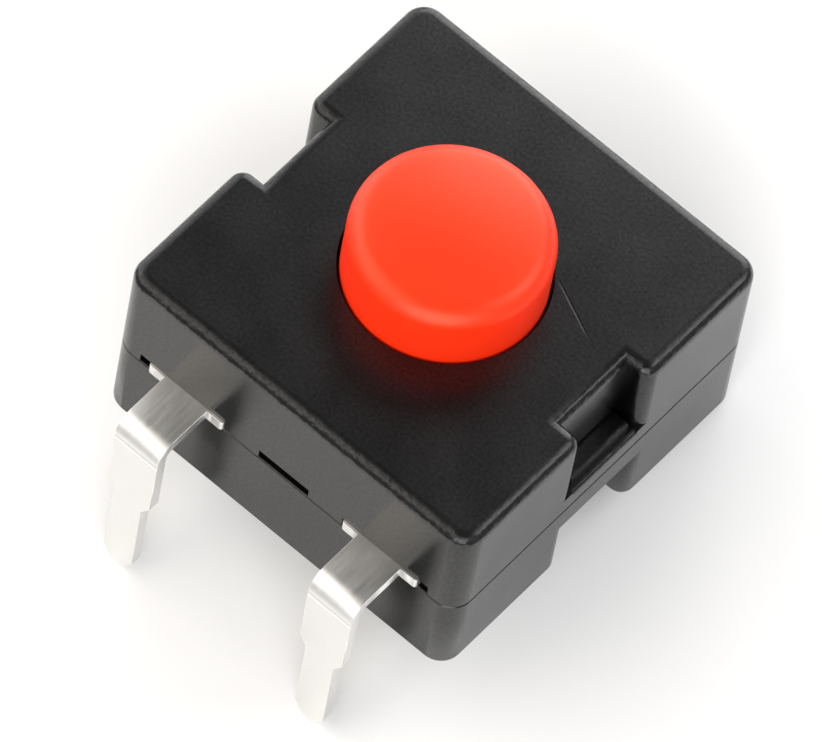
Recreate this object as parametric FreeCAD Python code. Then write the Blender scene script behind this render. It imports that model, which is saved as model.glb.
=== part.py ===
import FreeCAD, Part
import math
import os
from FreeCAD import Vector

# Self locking push switch with two bent pins, a square two-part housing and a round button.
# Frame: the origin is at the centre of the flat underside, +Z runs up the button,
# -Y is the face that the two terminals leave by. Every value is in millimetres or degrees.
# The switch is drawn with its button out, which is the open state.

# Housing outline
body_side = 12.0
corner_radius = 0.65
base_height = 2.95
cover_height = 3.55
top_edge_radius = 0.36
bottom_edge_bevel = 0.1
parting_bevel = 0.045

# Side notches, with the bar that the base's hook snaps over
notch_width = 2.6
notch_depth = 0.76
notch_mouth_radius = 0.42
latch_bar_height = 0.65
latch_bar_thickness = 0.68
base_strip_height = 0.85

# Walls
wall = 0.9
cavity_corner_radius = 0.4
roof_thickness = 0.95
floor_thickness = 0.75
lip_height = 0.45
lip_thickness = 0.45
lip_clearance = 0.06
lip_start = 3.4

# Button
button_diameter = 5.6
button_proud = 2.35
button_rim_radius = 0.5
button_crown_height = 0.3
button_top_wall = 1.25
button_bore_diameter = 4.2
bore_clearance = 0.08
roof_gap = 0.05

# Ratchet between the button, the rotor and the ribs of the cover's sleeve
press_travel = 1.8
latch_drop = 1.1
tooth_count = 8
tooth_height = 0.35
tooth_inner_radius = 2.1
spline_count = 4
spline_height = 0.78
spline_angle = 32.0
groove_angle = 35.0
spline_radius = 3.32
groove_radius = 3.4
sleeve_wall = 0.6
sleeve_length = 1.75
index_turn = 19.0
lug_angle = 18.0
lug_side_clearance = 1.0
tooth_side_clearance = 0.5
ratchet_gap = 0.03
rib_step = 0.3

# Rotor
rotor_hub_radius = 2.7
rotor_hub_height = 0.75
lug_radius = 3.3
rotor_boss_radius = 1.95
rotor_boss_height = 1.66
stem_radius = 1.0
stem_flange_radius = 1.35
stem_flange_height = 0.33
rotor_bore_radius = 0.65
rotor_bore_roof = 0.5
spring_pocket_radius = 1.55
spring_pocket_depth = 0.75

# Contacts
contact_travel = 0.8
contact_clearance = 0.02
bridge_thickness = 0.25
bridge_end_gap = 0.78
bridge_ear_width = 1.6
bridge_waist_radius = 1.85
bridge_corner_radius = 0.2
bridge_bore_clearance = 0.1
bridge_rest_gap = 0.02
contact_setback = 0.9
contact_head_radius = 0.42
contact_head_height = 0.25
contact_shank_radius = 0.24
contact_hole_clearance = 0.01
contact_edge_bevel = 0.1

# Terminals, stamped from strip and folded
terminal_thickness = 0.35
terminal_inset = 2.6
terminal_reach = 1.97
leg_width = 1.5
pin_width = 1.0
pin_length = 3.3
shoulder_height = 0.4
tip_height = 0.45
tip_width = 0.4
tip_corner_radius = 0.1
pin_taper_radius = 0.15
pin_root_radius = 0.05
shoulder_corner_radius = 0.1
shoulder_width = 2.6
shoulder_proud = 0.08
bend_inner_radius = 0.25
crease_radius = 0.09
crease_drop = 0.72
crease_depth = 0.035
arm_width = 1.1
arm_overrun = 0.95
arm_level = 1.1
arm_wall_gap = 0.12
arm_bend_radius = 0.1
terminal_slot_height = 0.4
terminal_slot_inner_clearance = 0.05
terminal_slot_outer_clearance = 0.35

# Slot in the middle of the front wall
middle_slot_width = 1.74
middle_slot_height = 0.38

# Base fittings
well_radius = 1.6
well_clearance = 0.17
spring_pin_radius = 0.32
spring_pin_height = 1.15
pad_margin = 0.1
peg_radius = 0.25
peg_height = 0.35
peg_clearance = 0.05
peg_setback = 3.0
guide_clearance = 0.06
guide_width = 0.68
guide_depth = 0.55
guide_height = 2.85
guide_overlap = 0.28
hook_thickness = 0.56
hook_width = 2.3
hook_reach = 0.54
hook_lift = 0.02
hook_nose_height = 0.34
hook_lead_radius = 0.2
hook_back_radius = 0.08
hook_root_width = 3.5
window_headroom = 0.15
window_clearance = 0.13
cheek_width = 3.7
cheek_thickness = 0.74
ejector_mark_radius = 0.55
ejector_mark_depth = 0.05
ejector_mark_offset = 4.1

# Springs
return_wire_radius = 0.08
return_coil_radius = 0.5
return_coil_count = 6
contact_wire_radius = 0.1
contact_coil_radius = 1.33
contact_coil_count = 3
spring_seat_gap = 0.01
wire_facets = 6
coil_spans = 12
closed_turn_pitch = 2.4

# How far a cutting body runs past a face, and how far joined features reach into each other
cutter_run = 1.0
merge_depth = 0.1

# Sizes that follow from the ones above
half_side = body_side / 2
body_height = base_height + cover_height
cavity_half = half_side - wall
roof_level = body_height - roof_thickness
notch_floor = half_side - notch_depth
bar_top = base_height + latch_bar_height
bar_inner = half_side - latch_bar_thickness
hook_inner = notch_floor - hook_thickness
bridge_half = hook_inner - bridge_end_gap
contact_offset = bridge_half - contact_setback
button_radius = button_diameter / 2
button_top = body_height + button_proud
bore_radius = button_radius + bore_clearance
spline_top = roof_level - roof_gap
tooth_tip = spline_top - spline_height
tooth_pitch = 360.0 / tooth_count
tooth_slope = tooth_height / tooth_pitch
tooth_lead = index_turn + tooth_side_clearance
rotor_valley = tooth_tip - tooth_slope * tooth_lead - ratchet_gap
rotor_peak = rotor_valley + tooth_height
rotor_bottom = rotor_peak - rotor_hub_height
boss_top = rotor_valley + rotor_boss_height
bore_top = boss_top - rotor_bore_roof
sleeve_end = roof_level - sleeve_length
groove_start = -groove_angle / 2
lug_start = groove_start + lug_side_clearance
lug_lead = lug_start + lug_angle
arm_top = arm_level + terminal_thickness
fixed_face = arm_top + contact_head_height
moving_face = fixed_face + contact_clearance + contact_travel
bridge_bottom = moving_face + contact_head_height
bridge_top = bridge_bottom + bridge_thickness
flange_top = bridge_bottom - bridge_rest_gap
stem_end = flange_top - stem_flange_height
well_floor = stem_end - press_travel - well_clearance
pocket_top = rotor_bottom + spring_pocket_depth
leg_outer = half_side + terminal_reach
leg_inner = leg_outer - terminal_thickness
bend_outer_radius = bend_inner_radius + terminal_thickness
terminal_top = base_height + terminal_thickness
terminal_centre = half_side - terminal_inset
drop_outer = cavity_half - arm_wall_gap
drop_inner = drop_outer - terminal_thickness
hook_top = bar_top + hook_lift + hook_nose_height


# Geometry helpers


def point(x, y, z=0.0):
    return Vector(x, y, z)


def box(x0, x1, y0, y1, z0, z1):
    return Part.makeBox(x1 - x0, y1 - y0, z1 - z0, point(x0, y0, z0))


def centred_box(width, depth, z0, z1):
    return box(-width / 2, width / 2, -depth / 2, depth / 2, z0, z1)


def disc(radius, z0, z1, x=0.0, y=0.0):
    return Part.makeCylinder(radius, z1 - z0, point(x, y, z0))


def ring(inner, outer, z0, z1):
    return disc(outer, z0, z1).cut(disc(inner, z0 - cutter_run, z1 + cutter_run))


def sector(radius, start, finish, z0, z1):
    """Slice of a disc between two angles."""
    slice_of_disc = Part.makeCylinder(radius, z1 - z0, point(0, 0, z0), point(0, 0, 1), finish - start)
    return turned(slice_of_disc, start)


def turned(shape, angle):
    copy = shape.copy()
    copy.rotate(point(0, 0), point(0, 0, 1), angle)
    return copy


def mirrored(shape):
    return shape.mirror(point(0, 0), point(1, 0))


def one_solid(shape):
    clean = shape.removeSplitter()
    if len(clean.Solids) != 1:
        raise ValueError("a piece came out as %d solids" % len(clean.Solids))
    return clean.Solids[0]


def fused(shapes):
    return shapes[0].multiFuse(shapes[1:])


def rounded_wire(corners):
    """Closed wire through (a, b, radius) corners in the XY plane, each corner an arc."""
    edges = []
    ends = []
    count = len(corners)
    for i in range(count):
        x, y, radius = corners[i]
        here = point(x, y)
        before = point(*corners[i - 1][:2]) - here
        after = point(*corners[(i + 1) % count][:2]) - here
        if radius <= 0:
            ends.append((here, here, None))
            continue
        before.normalize()
        after.normalize()
        half_angle = before.getAngle(after) / 2
        reach = radius / math.tan(half_angle)
        middle = before + after
        middle.normalize()
        crown = here + middle * (radius / math.sin(half_angle) - radius)
        ends.append((here + before * reach, here + after * reach, crown))
    for i in range(count):
        start, finish, crown = ends[i]
        if crown is not None:
            edges.append(Part.Arc(start, crown, finish).toShape())
        following = ends[(i + 1) % count][0]
        if (following - finish).Length > 1e-7:
            edges.append(Part.LineSegment(finish, following).toShape())
    return Part.Wire(edges)


def plate(corners, z0, z1):
    """Upright solid on a rounded outline."""
    face = Part.Face(rounded_wire(corners))
    face.translate(point(0, 0, z0))
    return face.extrude(point(0, 0, z1 - z0))


def side_profile(corners, x0, x1):
    """Solid whose (y, z, radius) outline is swept along X."""
    face = Part.Face(rounded_wire(corners))
    face.rotate(point(0, 0), point(1, 1, 1), 120)
    face.translate(point(x0, 0, 0))
    return face.extrude(point(x1 - x0, 0, 0))


def front_profile(corners, y0, y1):
    """Solid whose (x, z, radius) outline is swept along Y."""
    face = Part.Face(rounded_wire(corners))
    face.rotate(point(0, 0), point(1, 0, 0), 90)
    face.translate(point(0, y0, 0))
    return face.extrude(point(0, y1 - y0, 0))


def revolved(corners):
    """Round solid from a rounded (radius, z, corner radius) outline."""
    face = Part.Face(rounded_wire(corners))
    face.rotate(point(0, 0), point(1, 0, 0), 90)
    return face.revolve(point(0, 0), point(0, 0, 1), 360)


def polar(radius, angle, z):
    turn = math.radians(angle)
    return point(radius * math.cos(turn), radius * math.sin(turn), z)


def ramp_sector(inner, outer, start, finish, level, z_start, z_finish):
    """Sector between two radii, flat at one level, whose other face climbs with the angle.

    Its wedge starts inside the ring and ends beyond it, so it holds for less than 120 degrees.
    """
    near = inner / 2
    far = outer * 2
    wires = []
    for radius in (near, far):
        corners = [
            polar(radius, start, level),
            polar(radius, finish, level),
            polar(radius, finish, z_finish),
            polar(radius, start, z_start),
        ]
        wires.append(Part.makePolygon(corners + corners[:1]))
    wedge = Part.makeLoft(wires, True, True)
    low = min(level, z_start, z_finish) - cutter_run
    high = max(level, z_start, z_finish) + cutter_run
    return wedge.common(ring(inner, outer, low, high))


def coil(radius, wire_radius, z0, z1, turns):
    """Spring standing on Z with its end turns nearly closed, its wire in short straight spans."""
    end_rise = closed_turn_pitch * wire_radius / coil_spans
    end_height = 2 * wire_radius + 2 * coil_spans * end_rise
    open_rise = (z1 - z0 - end_height) / ((turns - 2) * coil_spans)
    last = turns * coil_spans
    level = z0 + wire_radius
    path = [polar(radius, 0, level)]
    for i in range(last):
        at_end = i < coil_spans or i >= last - coil_spans
        level += end_rise if at_end else open_rise
        path.append(polar(radius, (i + 1) * 360.0 / coil_spans, level))
    along = path[1] - path[0]
    along.normalize()
    up = point(0, 0, 1) - along * along.z
    up.normalize()
    out = along.cross(up)
    corners = []
    for i in range(wire_facets):
        turn = 2 * math.pi * (i + 0.5) / wire_facets
        corners.append(path[0] + out * (wire_radius * math.cos(turn)) + up * (wire_radius * math.sin(turn)))
    section = Part.makePolygon(corners + corners[:1])
    mitred = 1
    return one_solid(Part.makePolygon(path).makePipeShell([section], True, False, mitred))


# Housing pieces


def square_outline(half, radius):
    return [(-half, -half, radius), (half, -half, radius), (half, half, radius), (-half, half, radius)]


def notched_outline():
    """Housing outline in plan with the snap notch in the middle of each side."""
    half = notch_width / 2
    right = [
        (half_side, -half_side, corner_radius),
        (half_side, -half, notch_mouth_radius),
        (notch_floor, -half, 0),
        (notch_floor, half, 0),
        (half_side, half, notch_mouth_radius),
        (half_side, half_side, corner_radius),
    ]
    left = [(-x, y, radius) for x, y, radius in reversed(right)]
    return right + left


def edges_at(shape, z):
    """Edges that lie wholly at one level."""
    level = []
    for edge in shape.Edges:
        heights = [vertex.Z for vertex in edge.Vertexes]
        if heights and max(heights) - min(heights) < 1e-6 and abs(heights[0] - z) < 1e-6:
            if abs(edge.BoundBox.ZLength) < 1e-6:
                level.append(edge)
    return level


def cover_shell():
    """Outer form: plain skirt below, notched block above with its rim rounded."""
    skirt = plate(square_outline(half_side, corner_radius), base_height, bar_top)
    skirt = skirt.makeChamfer(parting_bevel, edges_at(skirt, base_height))
    block = plate(notched_outline(), bar_top, body_height)
    block = block.makeFillet(top_edge_radius, edges_at(block, body_height))
    return skirt.fuse(block)


def guide_sleeve():
    """Tube under the roof that carries the ratchet's ribs."""
    sleeve = ring(groove_radius, groove_radius + sleeve_wall, sleeve_end, roof_level)
    stop = lug_start + tooth_pitch + lug_angle
    low_step = latched_peak() - rib_step
    parts = [sleeve]
    for i in range(spline_count):
        rib_first = groove_angle / 2
        rib_last = 360.0 / spline_count - groove_angle / 2
        rise_one = tooth_slope * (stop - rib_first)
        rise_two = tooth_slope * (rib_last - stop)
        first = ramp_sector(
            bore_radius, groove_radius + sleeve_wall / 2, rib_first, stop,
            roof_level, latched_peak() - rise_one, latched_peak(),
        )
        second = ramp_sector(
            bore_radius, groove_radius + sleeve_wall / 2, stop, rib_last,
            roof_level, low_step, low_step + rise_two,
        )
        for rib in (first, second):
            parts.append(turned(rib, i * 360.0 / spline_count))
    return fused(parts)


def latched_peak():
    """Level at which a lug's leading point rests under a rib when the switch is locked."""
    return rotor_peak - latch_drop


def hook_windows():
    """Openings behind the latch bars, which let each hook up and its nose out."""
    half = hook_width / 2 + window_clearance
    window = box(
        hook_inner - window_clearance, bar_inner, -half, half,
        base_height - cutter_run, hook_top + window_headroom,
    )
    return window.fuse(mirrored(window))


def cheeks():
    """Thickened wall behind each notch."""
    half = cheek_width / 2
    cheek = box(notch_floor - cheek_thickness, notch_floor, -half, half, base_height, roof_level)
    return cheek.fuse(mirrored(cheek))


def terminal_slots():
    """Slots at the foot of the front wall for the two terminals and the empty middle one."""
    inner = terminal_centre - shoulder_width / 2 - terminal_slot_inner_clearance
    outer = terminal_centre + shoulder_width / 2 + terminal_slot_outer_clearance
    front = -half_side - cutter_run
    back = -cavity_half + cutter_run
    low = base_height - cutter_run
    slot = box(inner, outer, front, back, low, base_height + terminal_slot_height)
    half = middle_slot_width / 2
    middle = box(-half, half, front, back, low, base_height + middle_slot_height)
    return fused([slot, mirrored(slot), middle])


def make_cover():
    low = base_height - cutter_run
    cavity = plate(square_outline(cavity_half, cavity_corner_radius), low, roof_level)
    body = cover_shell().cut(cavity)
    body = body.fuse(cheeks())
    body = body.cut(hook_windows())
    body = body.cut(terminal_slots())
    body = body.fuse(guide_sleeve())
    return one_solid(body.cut(disc(bore_radius, low, body_height + cutter_run)))


def base_block():
    """Outer form of the base: notched below, full square where the hook strip runs."""
    strip_bottom = base_height - base_strip_height
    lower = plate(notched_outline(), 0, strip_bottom)
    lower = lower.makeChamfer(bottom_edge_bevel, edges_at(lower, 0))
    upper = plate(square_outline(half_side, corner_radius), strip_bottom, base_height)
    upper = upper.makeChamfer(parting_bevel, edges_at(upper, base_height))
    return lower.fuse(upper)


def snap_hooks():
    """Springy arm on each side with its nose over the cover's latch bar."""
    half = hook_width / 2
    root = box(
        hook_inner, notch_floor, -hook_root_width / 2, hook_root_width / 2,
        floor_thickness, base_height,
    )
    nose_foot = bar_top + hook_lift
    nose_tip = notch_floor + hook_reach
    outline = [
        (hook_inner, floor_thickness, 0),
        (notch_floor, floor_thickness, 0),
        (notch_floor, nose_foot, 0),
        (nose_tip, nose_foot, 0),
        (nose_tip, hook_top, hook_lead_radius),
        (hook_inner, hook_top, hook_back_radius),
    ]
    arm = front_profile(outline, half, -half)
    hook = root.fuse(arm)
    return hook.fuse(mirrored(hook))


def locating_lip():
    """Low rim inside the cover's walls, on a thicker wall of the base below it.

    It is left out along the front, for the terminals, and beside the hooks.
    """
    outer = cavity_half - lip_clearance
    inner = outer - lip_thickness
    top = base_height + lip_height
    above = top + cutter_run
    buried = 2 * (cavity_half + merge_depth)
    rim = plate(square_outline(outer, cavity_corner_radius), base_height, top)
    rim = rim.fuse(centred_box(buried, buried, floor_thickness, base_height))
    rim = rim.cut(centred_box(2 * inner, 2 * inner, 0, above))
    rim = rim.cut(box(-half_side, half_side, -half_side, -lip_start, 0, above))
    gap = cheek_width + 2 * lip_clearance
    return rim.cut(centred_box(body_side, gap, 0, above))


def arm_pads():
    """Ledges under the terminals' inner arms, each with a locating peg."""
    half = arm_width / 2 + pad_margin
    x0 = contact_offset - half
    x1 = contact_offset + half
    front = -cavity_half - merge_depth
    pad = box(x0, x1, front, arm_overrun + pad_margin, floor_thickness, arm_level)
    peg = disc(peg_radius, floor_thickness, arm_top + peg_height, contact_offset, -peg_setback)
    pad = pad.fuse(peg)
    return pad.fuse(mirrored(pad))


def bridge_guides():
    """Four posts that keep the contact bridge from turning with the rotor."""
    near = bridge_ear_width / 2 + guide_clearance
    foot = floor_thickness - merge_depth
    top = floor_thickness + guide_height
    start = bridge_half - guide_overlap
    post = box(start, start + guide_width, near, near + guide_depth, foot, top)
    pair = post.fuse(post.mirror(point(0, 0), point(0, 1)))
    return pair.fuse(mirrored(pair))


def ejector_marks():
    """Shallow round marks on the underside, one near each corner."""
    marks = []
    for x in (-ejector_mark_offset, ejector_mark_offset):
        for y in (-ejector_mark_offset, ejector_mark_offset):
            marks.append(disc(ejector_mark_radius, -cutter_run, ejector_mark_depth, x, y))
    return fused(marks)


def make_base():
    above = base_height + cutter_run
    cavity = plate(square_outline(cavity_half, cavity_corner_radius), floor_thickness, above)
    body = base_block().cut(cavity)
    body = fused([body, snap_hooks(), arm_pads(), bridge_guides(), locating_lip()])
    body = body.cut(disc(well_radius, well_floor, floor_thickness + cutter_run))
    pin = disc(spring_pin_radius, well_floor - merge_depth, well_floor + spring_pin_height)
    body = body.fuse(pin)
    return one_solid(body.cut(ejector_marks()))


# Moving pieces


def splines(inner, z0, z1):
    """The button's four guide splines between two levels."""
    slices = []
    for i in range(spline_count):
        middle = i * 360.0 / spline_count
        half = spline_angle / 2
        slices.append(sector(spline_radius, middle - half, middle + half, z0, z1))
    return fused(slices).cut(disc(inner, z0 - cutter_run, z1 + cutter_run))


def button_teeth():
    """Eight saw teeth, as far out as the button's wall and under the splines to their edge.

    Each tip leads a lug by the turn that the rotor makes, so that the two mesh at full press.
    """
    foot = tooth_tip + tooth_height
    root = foot + merge_depth
    teeth = []
    for i in range(tooth_count):
        start = i * tooth_pitch + lug_lead + tooth_lead
        teeth.append(ramp_sector(
            tooth_inner_radius, spline_radius, start, start + tooth_pitch, root, tooth_tip, foot,
        ))
    plan = disc(button_radius, tooth_tip, root).fuse(splines(tooth_inner_radius, tooth_tip, root))
    return fused(teeth).common(plan)


def button_head(foot):
    """Plain cylinder under a shallow domed top, with the edge between them rounded."""
    dome_radius = (button_radius ** 2 + button_crown_height ** 2) / (2 * button_crown_height)
    dome = Part.makeSphere(dome_radius, point(0, 0, button_top - dome_radius))
    head = disc(button_radius, foot, button_top + cutter_run).common(dome)
    return head.makeFillet(button_rim_radius, edges_at(head, button_top - button_crown_height))


def make_button():
    """Domed cap, guide splines and a crown of teeth at its foot."""
    foot = tooth_tip + tooth_height
    head = button_head(foot)
    body = fused([head, splines(tooth_inner_radius, foot, spline_top), button_teeth()])
    bore_end = button_top - button_top_wall
    return one_solid(body.cut(disc(button_bore_diameter / 2, tooth_tip - cutter_run, bore_end)))


def make_rotor():
    """Indexing rotor: crown of saw teeth, four lugs, guide boss and hollow stem."""
    parts = [
        disc(rotor_hub_radius, rotor_bottom, rotor_valley),
        disc(rotor_boss_radius, rotor_bottom, boss_top),
        disc(stem_radius, stem_end, rotor_bottom + merge_depth),
        disc(stem_flange_radius, stem_end, flange_top),
    ]
    for i in range(tooth_count):
        start = i * tooth_pitch + lug_lead - tooth_pitch
        parts.append(ramp_sector(
            tooth_inner_radius, rotor_hub_radius, start, start + tooth_pitch,
            rotor_valley - merge_depth, rotor_valley, rotor_peak,
        ))
    for i in range(spline_count):
        start = i * 360.0 / spline_count + lug_start
        parts.append(ramp_sector(
            rotor_hub_radius - merge_depth, lug_radius, start, start + lug_angle,
            rotor_bottom, rotor_peak - tooth_slope * lug_angle, rotor_peak,
        ))
    body = fused(parts)
    body = body.cut(disc(rotor_bore_radius, stem_end - cutter_run, bore_top))
    pocket = ring(stem_radius, spring_pocket_radius, rotor_bottom, pocket_top)
    return one_solid(body.cut(pocket))


def make_contact_bridge():
    """Stamped copper alloy strip with a round waist that slides on the rotor's stem."""
    ears = plate(
        [(x, y, bridge_corner_radius) for x, y in (
            (-bridge_half, -bridge_ear_width / 2),
            (bridge_half, -bridge_ear_width / 2),
            (bridge_half, bridge_ear_width / 2),
            (-bridge_half, bridge_ear_width / 2),
        )],
        bridge_bottom, bridge_top,
    )
    body = ears.fuse(disc(bridge_waist_radius, bridge_bottom, bridge_top))
    low = bridge_bottom - cutter_run
    high = bridge_top + cutter_run
    body = body.cut(disc(stem_radius + bridge_bore_clearance, low, high))
    for x in (-contact_offset, contact_offset):
        body = body.cut(disc(contact_shank_radius + contact_hole_clearance, low, high, x))
    return one_solid(body)


def contact_rivet(x, face, shank_end):
    """Silver rivet: a head with a bevelled rim and a shank that fills its hole's length."""
    up = 1 if face > shank_end else -1
    seat = face - up * contact_head_height
    profile = [
        (0, shank_end, 0),
        (contact_shank_radius, shank_end, 0),
        (contact_shank_radius, seat, 0),
        (contact_head_radius, seat, 0),
        (contact_head_radius, face - up * contact_edge_bevel, 0),
        (contact_head_radius - contact_edge_bevel, face, 0),
        (0, face, 0),
    ]
    rivet = revolved(profile)
    rivet.translate(point(x, 0, 0))
    return one_solid(rivet)


# Terminals


def terminal_ribbon():
    """Side view of the folded strip, as wide as its shoulders."""
    tip = -pin_length
    return side_profile([
        (-leg_outer, tip, 0),
        (-leg_outer, terminal_top, bend_outer_radius),
        (-drop_inner, terminal_top, arm_bend_radius + terminal_thickness),
        (-drop_inner, arm_top, arm_bend_radius),
        (arm_overrun, arm_top, 0),
        (arm_overrun, arm_level, 0),
        (-drop_outer, arm_level, arm_bend_radius + terminal_thickness),
        (-drop_outer, base_height, arm_bend_radius),
        (-leg_inner, base_height, bend_inner_radius),
        (-leg_inner, tip, 0),
    ], terminal_centre - shoulder_width / 2, terminal_centre + shoulder_width / 2)


def leg_outline():
    """Front view of the outer leg: wide at the fold, stepped in to the pin, tapered tip."""
    wide = leg_width / 2
    pin = pin_width / 2
    tip = tip_width / 2
    right = [
        (tip, -pin_length, tip_corner_radius),
        (pin, tip_height - pin_length, pin_taper_radius),
        (pin, 0, pin_root_radius),
        (wide, shoulder_height, shoulder_corner_radius),
        (wide, terminal_top + cutter_run, 0),
    ]
    left = [(-x, z, radius) for x, z, radius in reversed(right)]
    return [(x + terminal_centre, z, radius) for x, z, radius in right + left]


def crease():
    """Shallow press line across the leg under its fold."""
    y = -leg_outer - crease_radius + crease_depth
    z = terminal_top - crease_drop
    line = Part.makeCylinder(
        crease_radius, 2 * leg_width, point(terminal_centre - leg_width, y, z), point(1, 0, 0),
    )
    return line


def make_terminal(side):
    """One terminal; side is 1 for the right hand one and -1 for its mirror image.

    The strip narrows from its shoulders, which fill the slot in the wall, to the leg and the arm.
    """
    ribbon = terminal_ribbon()
    low = arm_level - cutter_run
    high = terminal_top + cutter_run
    front = -half_side - shoulder_proud
    arm_half = arm_width / 2
    leg = ribbon.common(front_profile(leg_outline(), -leg_outer - cutter_run, front))
    shoulder = ribbon.common(box(0, half_side, front, -cavity_half, low, high))
    arm = ribbon.common(box(
        contact_offset - arm_half, contact_offset + arm_half,
        -cavity_half, arm_overrun + cutter_run, low, high,
    ))
    body = fused([leg.cut(crease()), shoulder, arm])
    contact_hole = contact_shank_radius + contact_hole_clearance
    body = body.cut(disc(contact_hole, low, high, contact_offset))
    body = body.cut(disc(peg_radius + peg_clearance, low, high, contact_offset, -peg_setback))
    if side < 0:
        body = mirrored(body)
    return one_solid(body)


def make_return_spring():
    return coil(
        return_coil_radius, return_wire_radius,
        well_floor + spring_seat_gap, bore_top - spring_seat_gap, return_coil_count,
    )


def make_contact_spring():
    return coil(
        contact_coil_radius, contact_wire_radius,
        bridge_top + spring_seat_gap, pocket_top - spring_seat_gap, contact_coil_count,
    )


def build():
    pieces = {
        "cover": make_cover(),
        "base": make_base(),
        "button": make_button(),
        "rotor": make_rotor(),
        "return_spring": make_return_spring(),
        "contact_spring": make_contact_spring(),
        "contact_bridge": make_contact_bridge(),
    }
    for name, side in (("left", -1), ("right", 1)):
        x = side * contact_offset
        pieces["terminal_" + name] = make_terminal(side)
        pieces["fixed_contact_" + name] = contact_rivet(x, fixed_face, arm_level)
        pieces["moving_contact_" + name] = contact_rivet(x, moving_face, bridge_top)
    return pieces


def main():
    os.makedirs("parts", exist_ok=True)
    for name, shape in build().items():
        if not shape.isValid():
            raise ValueError(name + " is not a valid solid")
        shape.exportStep(os.path.join("parts", name + ".step"))
        size = shape.BoundBox
        print(
            "%-22s volume %8.3f  x %6.2f %6.2f  y %6.2f %6.2f  z %6.2f %6.2f" % (
                name, shape.Volume, size.XMin, size.XMax, size.YMin, size.YMax, size.ZMin, size.ZMax,
            )
        )


main()
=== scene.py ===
import math

import bmesh
import bpy
from mathutils import Euler, Matrix, Vector


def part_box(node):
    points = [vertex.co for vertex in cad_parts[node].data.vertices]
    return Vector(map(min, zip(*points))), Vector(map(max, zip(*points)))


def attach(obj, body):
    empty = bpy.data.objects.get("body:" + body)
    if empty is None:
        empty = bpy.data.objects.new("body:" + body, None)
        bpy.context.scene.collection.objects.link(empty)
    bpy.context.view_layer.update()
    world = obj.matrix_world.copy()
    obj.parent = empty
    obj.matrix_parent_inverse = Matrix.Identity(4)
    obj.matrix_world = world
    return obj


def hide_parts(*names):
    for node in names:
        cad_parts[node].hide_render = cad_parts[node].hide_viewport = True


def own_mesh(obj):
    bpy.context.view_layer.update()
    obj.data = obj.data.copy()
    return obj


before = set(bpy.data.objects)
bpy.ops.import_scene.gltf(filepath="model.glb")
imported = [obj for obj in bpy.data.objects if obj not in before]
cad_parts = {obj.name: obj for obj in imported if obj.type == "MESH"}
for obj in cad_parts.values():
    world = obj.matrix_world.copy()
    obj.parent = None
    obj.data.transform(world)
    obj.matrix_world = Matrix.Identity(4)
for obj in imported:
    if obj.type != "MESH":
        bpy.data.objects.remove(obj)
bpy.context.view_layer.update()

bl_info = {
    "name": "Self Locking Push Switch",
    "version": (1, 0, 0),
    "blender": (4, 5, 0),
    "location": "3D View > Sidebar > Switch",
    "description": "Builds the housing, button, terminals and springs of a self locking push switch",
    "category": "Object",
}

# The switch stands on the centre of its underside: +Z runs up the button, -Y is the terminals' side.
# Meshes are shaped in millimetres and brought to metres when a piece is finished.
MM = 0.001
FULL_TURN = 2 * math.pi
QUARTER_TURN = FULL_TURN / 4

# How far a joined solid reaches into the next one, how far a cutter runs past a surface, and the
# step that keeps two faces out of one plane, in millimetres.
OVERLAP = 0.1
PAST = 1.0
HAIR = 0.01

TEETH = 8
RIB_PAIRS = 4
ROUND_STEPS = 160


def foot_of(node):
    """Lowest level of a node at rest, in millimetres."""
    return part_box(node)[0].z / MM


def top_of(node):
    """Highest level of a node at rest, in millimetres."""
    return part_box(node)[1].z / MM


def length(name, description, default_mm):
    """A length that the user may change, kept in metres like every length in the scene."""
    return bpy.props.FloatProperty(
        name=name, description=description, default=default_mm * MM, min=0.0,
        subtype="DISTANCE", unit="LENGTH", precision=5,
    )


def number(name, description, default):
    return bpy.props.FloatProperty(name=name, description=description, default=default, min=0.0)


def count(name, description, default):
    return bpy.props.IntProperty(name=name, description=description, default=default, min=3)


def angle(name, description, degrees):
    return bpy.props.FloatProperty(
        name=name, description=description, default=math.radians(degrees),
        subtype="ANGLE", unit="ROTATION",
    )


def linear(hex_value):
    """An sRGB hex colour as the linear colour that a shader takes."""
    channels = [int(hex_value[i:i + 2], 16) / 255 for i in (1, 3, 5)]
    return [c / 12.92 if c <= 0.04045 else ((c + 0.055) / 1.055) ** 2.4 for c in channels]


def colour(name, description, hex_value):
    return bpy.props.FloatVectorProperty(
        name=name, description=description, default=linear(hex_value), size=3,
        subtype="COLOR", min=0.0, max=1.0,
    )


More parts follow.
